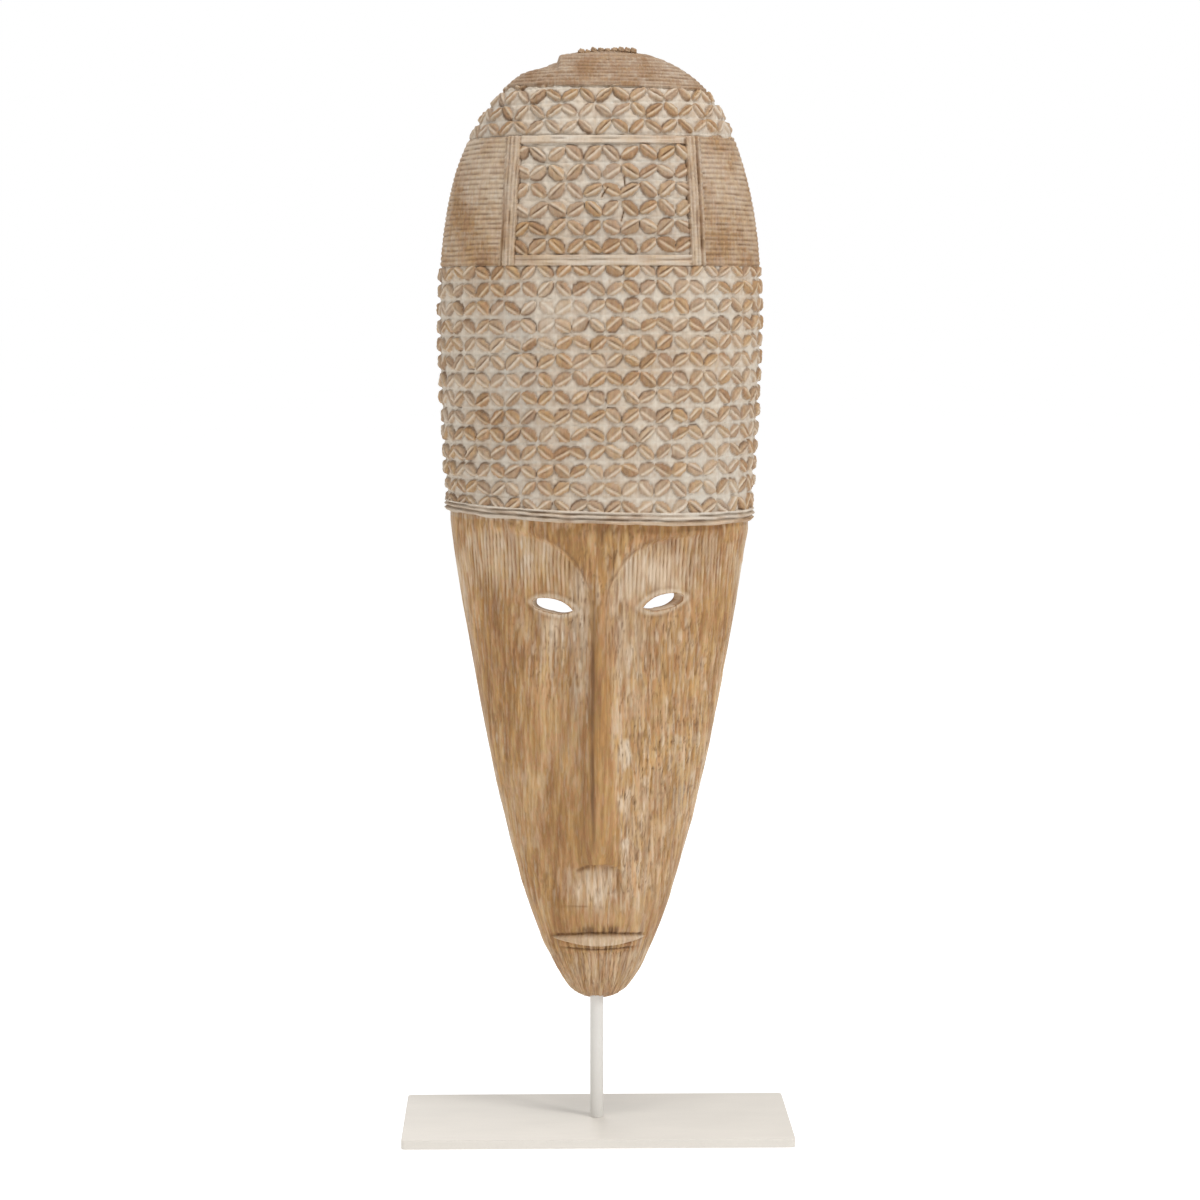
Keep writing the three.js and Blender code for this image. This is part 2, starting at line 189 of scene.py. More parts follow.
def cell_random(i, j, seed):
    """One random value from 0 to 1 for each whole cell (i, j)."""
    table = np.random.RandomState(SEED + 100 + seed).rand(256, 256)
    return table[i.astype(int) % 256, j.astype(int) % 256]


# ---- The mask's outline and depth at each level ----

def face_share(z):
    return np.clip((z - CHIN_Z) / (RIM_Z - 6 - CHIN_Z), 0, 1)


def dome_share(z):
    return np.clip((z - DOME_Z) / (TOP_Z - DOME_Z), 0, 1)


def half_width(z):
    face = FACE_HALF_WIDTH * face_share(z) ** FACE_TAPER
    below = np.clip((DOME_Z - z) / (DOME_Z - RIM_Z), 0, 1)
    body = mix(HEADDRESS_HALF_WIDTH, RIM_HALF_WIDTH, below ** 1.3)
    dome = HEADDRESS_HALF_WIDTH * (1 - dome_share(z) ** 2.6) ** 0.4
    return np.where(z < RIM_Z, face, np.where(z < DOME_Z, body, dome))


def depth(z):
    share = face_share(z)
    chin_rounding = 1 - 0.12 * (1 - smooth(0, 0.08, share))
    underside = 1 - (1 - np.clip((z - CHIN_Z) / CHIN_SLOPE, 0, 1)) ** 1.6
    face = mix(CHIN_DEPTH, FACE_DEPTH, share ** 0.8) * chin_rounding * underside
    headdress = HEADDRESS_DEPTH * (1 - dome_share(z) ** 3) ** 0.4
    return np.where(z < RIM_Z, face, headdress)


def lean(z):
    return LEAN_AT_CHIN + LEAN_PER_MM * (z - CHIN_Z) + LEAN_OF_DOME * smooth(515, 575, z)


def hollow_ends(z):
    middle = (HOLLOW_BOTTOM_Z + HOLLOW_TOP_Z) / 2
    along = np.clip((z - middle) / (HOLLOW_TOP_Z - middle), -1, 1)
    return (1 - np.abs(along) ** 5) ** 0.4


# ---- Carving: s is the distance round the surface from its middle, all in mm ----

# height stands out from the surface; the wash, dark and tone fields run from 0 to 1. The wash field is white
# wash with painted highlights in places, the dark field dark cuts and lines with painted shade in places.
Carving = namedtuple("Carving", "height wash dark tone")


def choose(inside, chosen, other):
    return Carving(*(np.where(inside, a, b) for a, b in zip(chosen, other)))


def petals(s, z, pitch, row_height, start_z, seed, fat=3.1, rise=0.32):
    """Rows of coffee-bean petals, one to a cell, slanting each way in turn so that they meet in flowers."""
    wander = 0.7 * (noise(s / 21, z / 15, seed) - 0.5) + 0.9 * (noise(s / 70, z / 60, seed + 1) - 0.5)
    cu = (s + wander) / pitch + 100
    cv = (z - start_z + 0.8 * wander - 0.012 * s) / row_height + 100
    i, j = np.floor(cu), np.floor(cv)
    r = [cell_random(i, j, seed + k) - 0.5 for k in range(9)]
    from_row = (cv - j - 0.5) * row_height
    fu = (cu - i - 0.5) * pitch + 1.0 * r[0]
    fv = from_row + 0.8 * r[1]
    slant = np.where((i + j) % 2 == 0, 1.0, -1.0)
    turn = np.arctan2(rise * row_height, 0.47 * pitch) + 0.3 * r[2]
    along = slant * fu * np.cos(turn) + fv * np.sin(turn)
    across = fv * np.cos(turn) - slant * fu * np.sin(turn)
    half_long = math.hypot(0.475 * pitch, rise * row_height) * (1 + 0.14 * r[3])
    half_wide = fat * (1 + 0.35 * r[4])
    run = np.clip(np.abs(along) / half_long, 0, 1)
    ragged = 1 + 0.3 * (noise(s / 1.7, z / 1.7, seed + 6) - 0.5)
    edge = half_wide * (1 - run ** 2.2) ** 0.7 * ragged + 1e-3
    off = np.abs(across) / edge
    body = np.sqrt(np.clip(1 - off ** 2, 0, 1)) * np.minimum(1, edge / 0.9)

    # Each petal has a cut down its middle, with a painted highlight stripe beside it, mostly on the lower
    # side, so one half of the petal is painted lit and the other half shaded.
    side = np.where(r[7] > -0.25, 1, -1)
    from_rib = (across - 0.7 * r[5]) * side
    painted_highlight_stripe = bump(from_rib + 1.0, 0.75) * (1 - run ** 6)
    rib = bump(from_rib, 0.45) * (1 - run ** 3) * (edge > 0.5)
    outline = bump(np.abs(across) - edge - 0.1, 0.55) * (run < 0.985)
    shade_side_weight = 0.3 + 0.7 * smooth(-0.2, 1.0, across * side)
    row_line = bump(row_height / 2 - np.abs(from_row), 0.5)
    lobe = np.sqrt(np.clip(1 - (from_row / (0.56 * row_height)) ** 2, 0, 1))
    rough = 0.7 * noise(s / 1.6, z / 1.5, seed + 9) - 0.35
    patches = sum(bump(s - middle, 24) * bump(z - level, 11) for middle, level in WORN_PATCHES)
    worn = smooth(0.52, 1.0, 0.8 * noise(s / 26, z / 16, seed + 3) + 0.35 * patches)
    strength = (0.9 + 0.6 * r[6]) * (1 - 0.5 * worn)
    height = strength * (1.5 * body - 0.9 * rib + 0.2 * painted_highlight_stripe * body - 0.5 * outline)
    height = height + 0.8 * lobe - 0.3 * row_line + rough - 1.6

    # Wash stays on the ground between the petals and wears off their backs; on the petals the painted
    # highlight stripe is added to it.
    on_petal = smooth(0.0, 0.4, body)
    petal_wash_and_highlight = mix(0.14, 0.62, painted_highlight_stripe) + 0.3 * worn + 0.3 * r[8]
    ground_wash = 0.8 + 0.2 * row_line - 0.15 * worn + 0.45 * (noise(s / 2.2, z / 1.6, seed + 4) - 0.5)
    # Painted shade: a dark line in the groove round each petal, heavier on the side away from the highlight
    # stripe; the cut down the middle is darkened in places too.
    dark = 1.15 * outline * shade_side_weight * (0.65 + r[0]) * smooth(-0.1, 0.6, noise(s / 2.6, z / 2.6, seed + 5))
    dark = np.maximum(dark, 0.95 * rib * smooth(-0.4, 0.1, r[3]) * (0.65 + r[1]))
    dark = dark * (1 - 0.55 * worn)
    brown = 0.25 + 0.5 * r[6] + 0.3 * (noise(s / 1.3, z / 1.3, seed + 7) - 0.5)
    return Carving(height, mix(ground_wash, petal_wash_and_highlight, on_petal), dark, mix(brown, 0.95, painted_highlight_stripe))


def combed(distance, pitch, along, seed, high=0.36):
    """Fine carved lines, each a rounded ridge between two narrow grooves, nicked here and there."""
    phase = (distance + 0.9 * (noise(along / 22, distance / 9, seed) - 0.5)) / pitch
    groove = np.abs(np.cos(math.pi * phase)) ** 4
    line = np.floor(phase + 0.5) + 500
    strength = 0.3 + cell_random(line, np.floor(along / 7) + 500, seed)
    strength = strength * (0.5 + 0.5 * smooth(0.15, 0.6, noise(along / 3.2, line * 1.7, seed + 7)))
    nick = smooth(0.5, 0.8, noise(along / 0.75, distance / pitch * 0.9, seed + 4))
    tick = smooth(0.62, 0.85, noise(along / 0.7, distance / pitch * 0.5, seed + 8))
    fine = noise(along / 1.2, distance / 0.9, seed + 2) - 0.5
    patch = noise(along / 11, distance / 13, seed + 3)
    height = high * (0.6 - 1.4 * groove * (0.4 + 0.6 * strength) - 0.3 * nick - 0.25 * tick) + 0.25 * fine
    wash = 0.36 + 0.45 * (patch - 0.5) + 0.12 * nick + 0.3 * (noise(along / 5, line * 1.7, seed + 5) - 0.5)
    dark = 0.62 * groove * (0.2 + 0.8 * strength) + 0.1 * tick
    return Carving(height, wash, dark, 0.4 + 0.4 * (patch - 0.5) + 0.5 * fine)


def smooth_band(x, z, lines):
    """A plain washed band with a few long scratches and one thin line at each given level."""
    scratch = noise(x / 12, z / 0.8, 80) - 0.5
    line = sum(bump(z - level, 0.45) for level in lines) * smooth(0.3, 0.7, noise(x / 7, z / 3, 81))
    height = 0.3 + 0.5 * scratch + 0.4 * (noise(x / 5, z / 2, 82) - 0.5) - 0.6 * line
    wash = 0.66 + 0.45 * scratch - 0.5 * (noise(x / 9, z / 3, 83) - 0.4)
    return Carving(height, wash, 0.4 * line + 0.12 * (scratch > 0.2), 0.45 + 0.8 * scratch)


def panel(x, z):
    share = (z - PANEL_BOTTOM_Z) / (PANEL_TOP_Z - PANEL_BOTTOM_Z)
    left, right = mix(*PANEL_LEFT, share), mix(*PANEL_RIGHT, share)
    inner_low = PANEL_BOTTOM_Z + PANEL_LOWER_BAND
    inner_high = PANEL_TOP_Z - PANEL_UPPER_BAND
    row_height = (inner_high - inner_low) / PANEL_ROWS
    carving = petals(x - 2.2, z, PANEL_PETAL_PITCH, row_height, inner_low, 70, 3.3, 0.34)
    carving = carving._replace(dark=carving.dark + 0.12)
    band = smooth_band(x, z, (PANEL_BOTTOM_Z + 2.2, PANEL_TOP_Z - 1.8))
    carving = choose((z < inner_low) | (z > inner_high), band, carving)

    # The upright strips are ridged along their length, with deep cuts beside them.
    from_left, from_right = x - left, right - x
    near = np.minimum(from_left, from_right)
    ridges = combed(near + 0.35, 2.0, z, 90, 0.5)
    ridges = ridges._replace(height=ridges.height + 0.5, wash=ridges.wash + 0.12)
    carving = choose(near < PANEL_STRIP, ridges, carving)
    punched = smooth(0.5, 0.75, noise(z / 1.7, x * 0, 93)) * bump(from_right - PANEL_STRIP - 0.6, 0.7)
    cuts = bump(from_left, 0.7) * (0.5 + 0.5 * smooth(0.7, 0.2, share))
    cuts = cuts + 0.7 * bump(from_left - PANEL_STRIP, 0.5)
    cuts = cuts + bump(from_right - 1.2, 0.8) + 0.5 * bump(from_right - PANEL_STRIP, 0.5) + 0.8 * punched
    cuts = np.clip(cuts, 0, 1) * (0.5 + 0.6 * noise(z / 6, x / 6, 94))
    for crack_x, crack_z, slant in CRACKS:
        off = x - crack_x - slant * (z - crack_z) - 0.8 * (noise(z / 2, x * 0, 91) - 0.5)
        ends = smooth(CRACK_HALF_LENGTH, CRACK_HALF_LENGTH - 1, np.abs(z - crack_z))
        cuts = np.maximum(cuts, bump(off, 0.4) * ends)
    carving = carving._replace(
        height=carving.height - 1.3 * cuts, dark=np.maximum(carving.dark, 0.8 * cuts),
        wash=carving.wash * (1 - 0.5 * cuts))
    return carving, near


def rim_band(s, z):
    """The rough ledge round the headdress's lower edge: three ridges with dark seams between, and painted
    shade along its lowest edge, where it overhangs the face.
    """
    up = z - RIM_Z + 0.7 * (noise(s / 9, s * 0, 96) - 0.5)
    rough = noise(s / 6, z / 1.1, 95) - 0.5
    seam = bump(up - 4.1, 0.45) * smooth(0.2, 0.6, noise(s / 8, s * 0, 99)) + bump(up - 1.7, 0.55)
    ridges = bump(up - 5.2, 0.7) + 1.3 * bump(up - 2.9, 0.9) + 1.2 * bump(up - 0.6, 0.8)
    height = ridges - 0.8 * seam + 0.7 * rough
    wash = 0.66 + 0.4 * bump(up - 5.2, 0.7) + 0.7 * rough
    # The last term is painted shade along the ledge's lowest edge, under the overhang.
    dark = 0.45 * seam + 0.25 * smooth(0.15, 0.4, rough) + 0.25 * bump(up, 0.5)
    return Carving(height, wash, dark, 0.3 + rough)


def headdress(s, x, z):
    lower = petals(s - 1.5, z, PETAL_PITCH, PETAL_ROW, PETAL_START_Z, 10)
    upper = petals(s + 5.2, z, PETAL_PITCH, UPPER_ROW, PANEL_TOP_Z + 0.8, 30, 2.5, 0.38)
    upper = upper._replace(dark=upper.dark + 0.12)
    carving = choose(z < (PANEL_BOTTOM_Z + PANEL_TOP_Z) / 2, lower, upper)

    beside = (z > PANEL_BOTTOM_Z - 1) & (z < PANEL_TOP_Z)
    side = combed(z, SIDE_COMB, s, 50)
    browner = smooth(30, 75, np.abs(s))
    side = side._replace(
        height=side.height - 0.4,
        wash=side.wash + 0.22 - 0.35 * browner,
        # painted shade: darker towards +X, to offset the key light from the right
        dark=side.dark + 0.13 * smooth(0, 30, s))
    carving = choose(beside, side, carving)
    cap = combed(z, CAP_COMB, s, 60, 0.32)
    cap = cap._replace(wash=cap.wash - 0.15, dark=cap.dark + 0.13, tone=cap.tone - 0.4)
    carving = choose(z > CAP_Z - CAP_SLOPE * x, cap, carving)
    in_panel, near = panel(x, z)
    carving = choose(beside & (near > -0.9), in_panel, carving)
    carving = choose(z < RIM_Z + RIM_BAND, rim_band(s, z), carving)

    # Grooves between the zones.
    groove = bump(z - PANEL_BOTTOM_Z + 1, 0.5) + bump(z - PANEL_TOP_Z - 0.2, 0.5)
    groove = (groove + bump(z - CAP_Z + CAP_SLOPE * x, 0.6)) * (0.3 + 0.7 * noise(s / 7, z / 30, 97))

    # The crest: the dome is cut lower to its left, leaving a step.
    beyond = smooth(CREST_LEFT + 1.5, CREST_LEFT - 1.5, x) * smooth(TOP_Z - 13, TOP_Z - 5, z)
    height = carving.height - 0.7 * groove - CREST_STEP * beyond + 0.4 * smooth(TOP_Z - 6, TOP_Z - 2, z)
    worn = noise(s / 30 + 7, z / 30, 98)
    return carving._replace(
        height=height, dark=np.maximum(carving.dark, 0.45 * groove), wash=carving.wash + 0.3 * (worn - 0.5))


def brow_arch(x):
    """The level of the brow's edge: it falls to the bridge of the nose and, a little, at the temples."""
    temple = np.clip(np.abs(x) - 58, 0, None)
    return BROW_Z - BROW_DROP * np.exp(-np.abs(x - 0.6) / BROW_SPREAD) - 0.05 * temple ** 2


def sockets(x, z):
    under = brow_arch(x) - z
    drop = 0.6 * smooth(-1.2, 4.2, under) + 0.4 * smooth(0, 26, under)
    across = smooth(0.5, 6.5, np.abs(x - 0.6)) - 0.75 * smooth(26, 62, np.abs(x))
    across = across - 0.25 * smooth(60, 77, np.abs(x))
    return -6.0 * drop * across * smooth(205, 290, z)


def nose(x, z):
    """The nose's height, and the level of its base at each x."""
    share = np.clip((NOSE_TOP_Z - z) / (NOSE_TOP_Z - NOSE_BASE_Z), 0, 1)
    half_wide = mix(5.0, 12.0, share)
    high = mix(1.0, 12.5, share ** 0.7)
    off = np.where(x < 0.6, 0.95, 0.8) * np.abs(x - 0.6) / half_wide
    profile = 0.85 * (1 - smooth(0.0, 1.22, off)) + 0.15 * bump(off, 0.3)
    base = NOSE_BASE_Z - 2.2 - 0.03 * (x - 1) ** 2
    under = 0.75 * smooth(base, base + 3.4, z) + 0.25 * smooth(base, base + 14, z)
    return high * profile * under * (1 - smooth(288, 318, z)), base


def mouth(x, z):
    """The lip's height, how much a point is on the lip, and the grooves over and under it; the groove under
    it, with a wider band between it and the lip, also carries painted shade under the lip.
    """
    run = np.clip(np.abs(x - MOUTH_X) / MOUTH_HALF_LENGTH, 0, 1)
    centre = MOUTH_Z + 0.8 + 0.9 * run ** 2
    half = MOUTH_HALF_HEIGHT * (1 - run ** 1.8) + 0.01
    off = (z - centre) / half
    on_lip = smooth(1.12, 0.85, np.abs(off)) * (run < 0.99)
    round_lip = np.sqrt(np.clip(1.05 - np.clip(off, -1, 1) ** 2, 0, 1))
    reach = smooth(1.0, 0.86, run)
    upper = bump(z - centre - half - 0.7, 0.8) * reach
    under = z - MOUTH_Z + 4.0 - 0.6 * run ** 2
    lower = bump(under, 0.6) * smooth(0.85, 0.6, run)
    # The wider band between the lip and the groove under it is painted shade under the lip.
    lower = lower + 0.4 * bump(under - 1.5, 0.8) * smooth(0.6, 0.3, run)
    lip = 2.5 * round_lip * on_lip * (1 - run ** 4)
    under_lip = 1.3 * smooth(-8, -4, z - centre) * smooth(-1, -3, z - centre) * (1 - run ** 2)
    height = lip + under_lip - 1.4 * upper - 1.2 * lower
    return height, on_lip * smooth(1.0, 0.82, run), upper, lower


def eye_rims(x, z):
    """A narrow worn edge round each slit, and a thin dark line round the edge."""
    rim, ring = 0 * x, 0 * x
    for eye in EYES:
        out = eye["side"] * x - eye["x"]
        up = z - eye["z"] - out * math.tan(math.radians(eye["tilt"]))
        reach = np.abs(out / (EYE_HALF_LENGTH + 0.5)) ** 2 + np.abs(up / eye["high"]) ** 1.4
        outside = (reach - 1) * eye["high"] / 2
        rim = rim + bump(outside - 0.5, 0.8)
        ring = ring + bump(outside - 2.1, 0.6)
    return rim, ring


def face_wash_and_highlight(x, z):
    """How much white is left on the face, from 0 to 1, before the marks of the gouge, with a painted
    highlight on the right eye socket and the lower right cheek.
    """
    nose_edge = mix(15.5, 12.5, smooth(150, 250, z))
    beside_nose = bump(x - nose_edge, 4.2) * smooth(150, 168, z) * smooth(262, 222, z)
    beside_nose = beside_nose * (0.1 + smooth(0.4, 0.72, noise(x / 5, z / 8, 263)))
    under_eyes = 0.35 * bump(x + 24, 15) * bump(z - 277, 12)
    under_eyes = under_eyes + 0.2 * bump(x - 22, 14) * bump(z - 268, 26)
    by_bridge = 1.5 * bump(x + 9, 4) * smooth(215, 262, z) * smooth(318, 300, z)
    by_bridge = by_bridge + bump(x - 14, 7) * smooth(225, 262, z) * smooth(318, 300, z)
    over_mouth = bump(x + 2, 11.5) * smooth(117, 139, z) * smooth(150, 145, z)
    over_mouth = over_mouth * (0.5 + 0.9 * noise(x / 1.5, z / 14, 267))
    in_sockets = smooth(0, 5, brow_arch(x) - z) * smooth(286, 312, z) * smooth(5, 14, np.abs(x))
    edges = smooth(0.93, 0.99, np.abs(x - lean(z)) / (half_width(z) + 1e-6))
    # right is painted highlight: the right eye socket and the lower right cheek made paler, as if lit from
    # the right.
    right = 2.5 * bump(x - 27, 15) * bump(z - 306, 13) + 0.7 * smooth(10, 24, x) * smooth(215, 175, z)
    under_rim = smooth(329, 334, z) * bump(x + 19, 9)
    wash = 0.75 * beside_nose + under_eyes + 0.28 * by_bridge + 0.62 * over_mouth
    wash = wash + 0.22 * smooth(103, 98, z)
    return wash + 0.2 * in_sockets + 0.35 * edges + 0.25 * right + 0.45 * under_rim


def strokes(u, z, wide, long, seed):
    """The long wavy cuts of a gouge: lines between the strokes, and how light each stroke is, round 0.5."""
    finer = noise(u / (0.4 * wide), z / (0.5 * long), seed + 1)
    field = noise(u / wide, z / long, seed) + 0.3 * (finer - 0.5)
    return bump(field - 0.5, 0.05), field


def face(s, x, z):
    # On the chin the strokes follow its edges, so they draw together downwards.
    fan = (half_width(CHIN_FAN_Z) / half_width(np.clip(z, CHIN_Z + 8, CHIN_FAN_Z))) ** 0.75
    settled = mix(0.25, 1.0, smooth(CHIN_Z, CHIN_Z + 16, z))
    u = s * fan + 1.6 * (noise(s / 26, z / 34, 200) - 0.5)
    line, tone_of_stroke = strokes(u, z, 1.6, 13, 210)
    fine_line, fine_tone = strokes(u, z, 0.95, 8, 220)
    patch = noise(s / 20, z / 36, 230)
    nose_height, nose_base = nose(x, z)
    calm = 0.6 * smooth(262, 225, z) * smooth(-2, -12, x) * smooth(-58, -40, x) * smooth(135, 160, z)
    calm = np.maximum(calm, 0.6 * smooth(1.5, 5, nose_height))
    calm = np.maximum(calm, 0.75 * bump(z - 119, 9) * (1 - 0.5 * bump(x - 1, 10)))
    wild = (0.5 + 0.8 * patch) * (1 - calm)
    fleck = smooth(0.6, 0.84, noise(u / 1.15, z / 7, 235)) * (0.4 + 0.9 * patch) * (1 - 0.7 * calm)

    # Regular flutes fill the eye sockets.
    under = brow_arch(x) - z
    in_socket = smooth(0, 5, under) * smooth(284, 306, z) * smooth(8, 15, np.abs(x))
    flute_phase = (s + 1.6 * (noise(s / 12, z / 22, 240) - 0.5)) / FLUTE_PITCH
    flute = np.abs(np.cos(math.pi * flute_phase)) ** 6 * (0.4 + 0.9 * noise(s / FLUTE_PITCH, z / 12, 245))
    lip, on_lip, upper, lower = mouth(x, z)
    rim, ring = eye_rims(x, z)
    teeth = smooth(0.3, 0.75, noise(x / 1.1, z / 6, 246)) * bump(z - 113.3, 2.3)
    teeth = teeth * smooth(14, 9, np.abs(x - 1))

    marks = 0.9 * (tone_of_stroke - 0.5) + 0.45 * (fine_tone - 0.5) + 0.25 * fleck
    marks = marks - 0.45 * line - 0.15 * fine_line
    marks = mix(marks * wild, 0.2 - 0.6 * flute, in_socket) * (1 - 0.75 * on_lip)
    uneven = noise(s / 13, z / 30, 250) - 0.5
    height = settled * (marks + uneven) + sockets(x, z) + nose_height + lip + 0.3 * rim - 0.7 * teeth

    # Painted shadow under the base of the nose.
    nose_base_shadow = bump(z - nose_base - 1.2, 1.6) * smooth(-13, -9, x) * smooth(9, -3, x)
    nose_base_shadow = nose_base_shadow * (0.6 + 0.6 * noise(x / 3, z / 3, 266))
    scratch = bump(z - 126.5 - 0.04 * (x + 12), 0.45) * smooth(-22, -18, x) * smooth(-3, -7, x)
    # Painted shade: a dark line down the left flank of the nose ridge.
    nose_shade_line = bump(x + 2.2 + 0.8 * noise(z / 9, x * 0, 262), 0.9)
    nose_shade_line = nose_shade_line * smooth(158, 172, z) * smooth(298, 280, z)
    nose_shade_line = nose_shade_line * (0.5 + 0.75 * noise(z / 11, x * 0, 260))
    second = bump(x - 1.2 - 1.6 * noise(z / 13, x * 0, 264), 0.7) * smooth(158, 168, z) * smooth(235, 215, z)
    second = second * smooth(0.45, 0.75, noise(z / 12, x * 0, 265))
    # Painted shade along the brow's edge, where the sockets drop under it.
    brow_shade_line = bump(under + 0.2, 1.7) * smooth(2, 7, np.abs(x)) * smooth(40, 26, np.abs(x))
    # These painted shade lines go in with a second dark line by the nose and a scratch.
    lines = np.clip(nose_shade_line + 0.8 * second + 0.5 * brow_shade_line + 1.1 * nose_base_shadow + 0.5 * scratch, 0, 1)
    blotch = noise(s / 2.1, z / 9, 270)
    wash = face_wash_and_highlight(x, z) * (0.35 + 1.3 * blotch) + 0.34 * fleck + 0.1 * smooth(0.4, 0.7, patch)
    wash = (wash + 0.35 * (fine_tone - 0.5) * wild) * (1 - 0.8 * lines) + 0.48 * on_lip + 0.6 * rim
    on_nose = smooth(2, 7, nose_height)
    on_brow = smooth(0, 4, -under) * smooth(292, 308, z) * smooth(34, 24, np.abs(x))
    wash = wash + in_socket * (0.08 - 0.25 * flute) - 0.2 * on_nose - 0.15 * on_brow
    dash = smooth(0.68, 0.88, noise(u / 0.9, z / 4.5, 275))
    chin = smooth(99, 92, z) * smooth(14, -6, x)
    dark = 0.5 * line * (0.15 + noise(s / 6, z / 16, 280)) + (0.14 + 0.4 * chin) * fine_line + 0.4 * dash
    dark = dark * wild
    dark = dark * (1 - in_socket) + 0.42 * flute * in_socket
    # lower darkens the groove under the lip as painted shade; lines brings in the painted shade lines by the
    # nose and the brow.
    dark = dark * (1 - 0.6 * on_lip) + 0.55 * upper + 0.65 * lower + 0.7 * lines + 0.85 * teeth
    dark = dark + (0.2 * rim + 0.4 * ring) * noise(x / 3, z / 3, 290)
    tone = 0.42 + 0.5 * (tone_of_stroke - 0.5) * (1 - 0.5 * calm) + 0.3 * (patch - 0.5)
    tone = tone - 0.2 * lines + 0.35 * (noise(s / 5, z / 24, 285) - 0.5) - 0.12 * on_nose
    return Carving(height, wash, dark, tone)


# ---- The mask's mesh ----

def levels(low, high, step):
    """Levels from low towards high, step apart along the mask's steepest outline."""
    share = np.sin(np.linspace(0, math.pi / 2, 4000))
    fine = mix(low, high, share)
    run = np.hypot(np.diff(fine), np.maximum(abs(np.diff(half_width(fine))), abs(np.diff(depth(fine)))))
    arc = np.concatenate([[0], np.cumsum(run)])
    return np.interp(np.arange(0, arc[-1], step), arc, fine)


def all_levels():
    return np.concatenate([
        levels(CHIN_Z + 0.1, MOUTH_Z - 8, 0.8),
        levels(MOUTH_Z - 8, MOUTH_Z + 10, 0.45),
        levels(MOUTH_Z + 10, RIM_Z - 1.2, 0.85),
        np.linspace(RIM_Z - 1.2, RIM_Z - 0.01, 4),
        levels(RIM_Z, RIM_Z + RIM_BAND + 1, 0.45),
        levels(RIM_Z + RIM_BAND + 1, PANEL_BOTTOM_Z - 3, 0.7),
        levels(PANEL_BOTTOM_Z - 3, PANEL_TOP_Z + 1, 0.46),
        levels(PANEL_TOP_Z + 1, CAP_Z - 2, 0.6),
        levels(CAP_Z - 2, TOP_Z - 0.03, 0.42),
    ])


def outline(z, half_wide, deep, columns):
    """Points evenly spaced along half a superellipse at each level: x, forward, arc length."""
    angle = np.linspace(-math.pi / 2, math.pi / 2, 721)
    reach = np.abs(np.sin(angle)) ** (2 / SECTION_POWER) * np.sign(angle)
    forward = np.abs(np.cos(angle)) ** (2 / SECTION_POWER)
    x, y, s = (np.empty((len(z), columns)) for _ in range(3))
    for row, (wide, front) in enumerate(zip(half_wide, deep)):
        fine_x, fine_y = wide * reach, front * forward
        arc = np.concatenate([[0], np.cumsum(np.hypot(np.diff(fine_x), np.diff(fine_y)))])
        even = np.linspace(0, arc[-1], columns)
        x[row], y[row] = np.interp(even, arc, fine_x), np.interp(even, arc, fine_y)
        s[row] = even - arc[-1] / 2
    return x, y, s


def normals(points):
    """Unit normals of a grid of points, out of the side where columns run left to right."""
    along_column = np.gradient(points, axis=0)
    along_row = np.gradient(points, axis=1)
    normal = np.cross(along_row, along_column)
    return normal / (np.linalg.norm(normal, axis=2, keepdims=True) + 1e-9)


def front_grid(z):
    x, forward, s = outline(z, half_width(z), depth(z), COLUMNS)
    level = np.repeat(z[:, None], COLUMNS, axis=1)
    x = x + lean(level)
    points = np.stack([x, BACK_Y - forward, level], axis=2)
    on_face = level < FACE_TOP_Z
    carving = choose(on_face, face(s, x, level), headdress(s, x, level))
    facing = smooth(0.0, 0.35, np.abs(forward) / depth(level))
    height = np.where(on_face, carving.height * mix(0.3, 1, facing), carving.height)
    height = height * smooth(0, 4, level - CHIN_Z)
    moved = points + normals(points) * height[..., None]
    moved[..., 1] = np.minimum(moved[..., 1], BACK_Y)
    ledge = LEDGE_SAG * ((x / FACE_HALF_WIDTH) ** 2 - 0.6) - LEDGE_FALL * x
    moved[..., 2] += ledge * bump(level - RIM_Z, LEDGE_REACH)
    return moved, carving


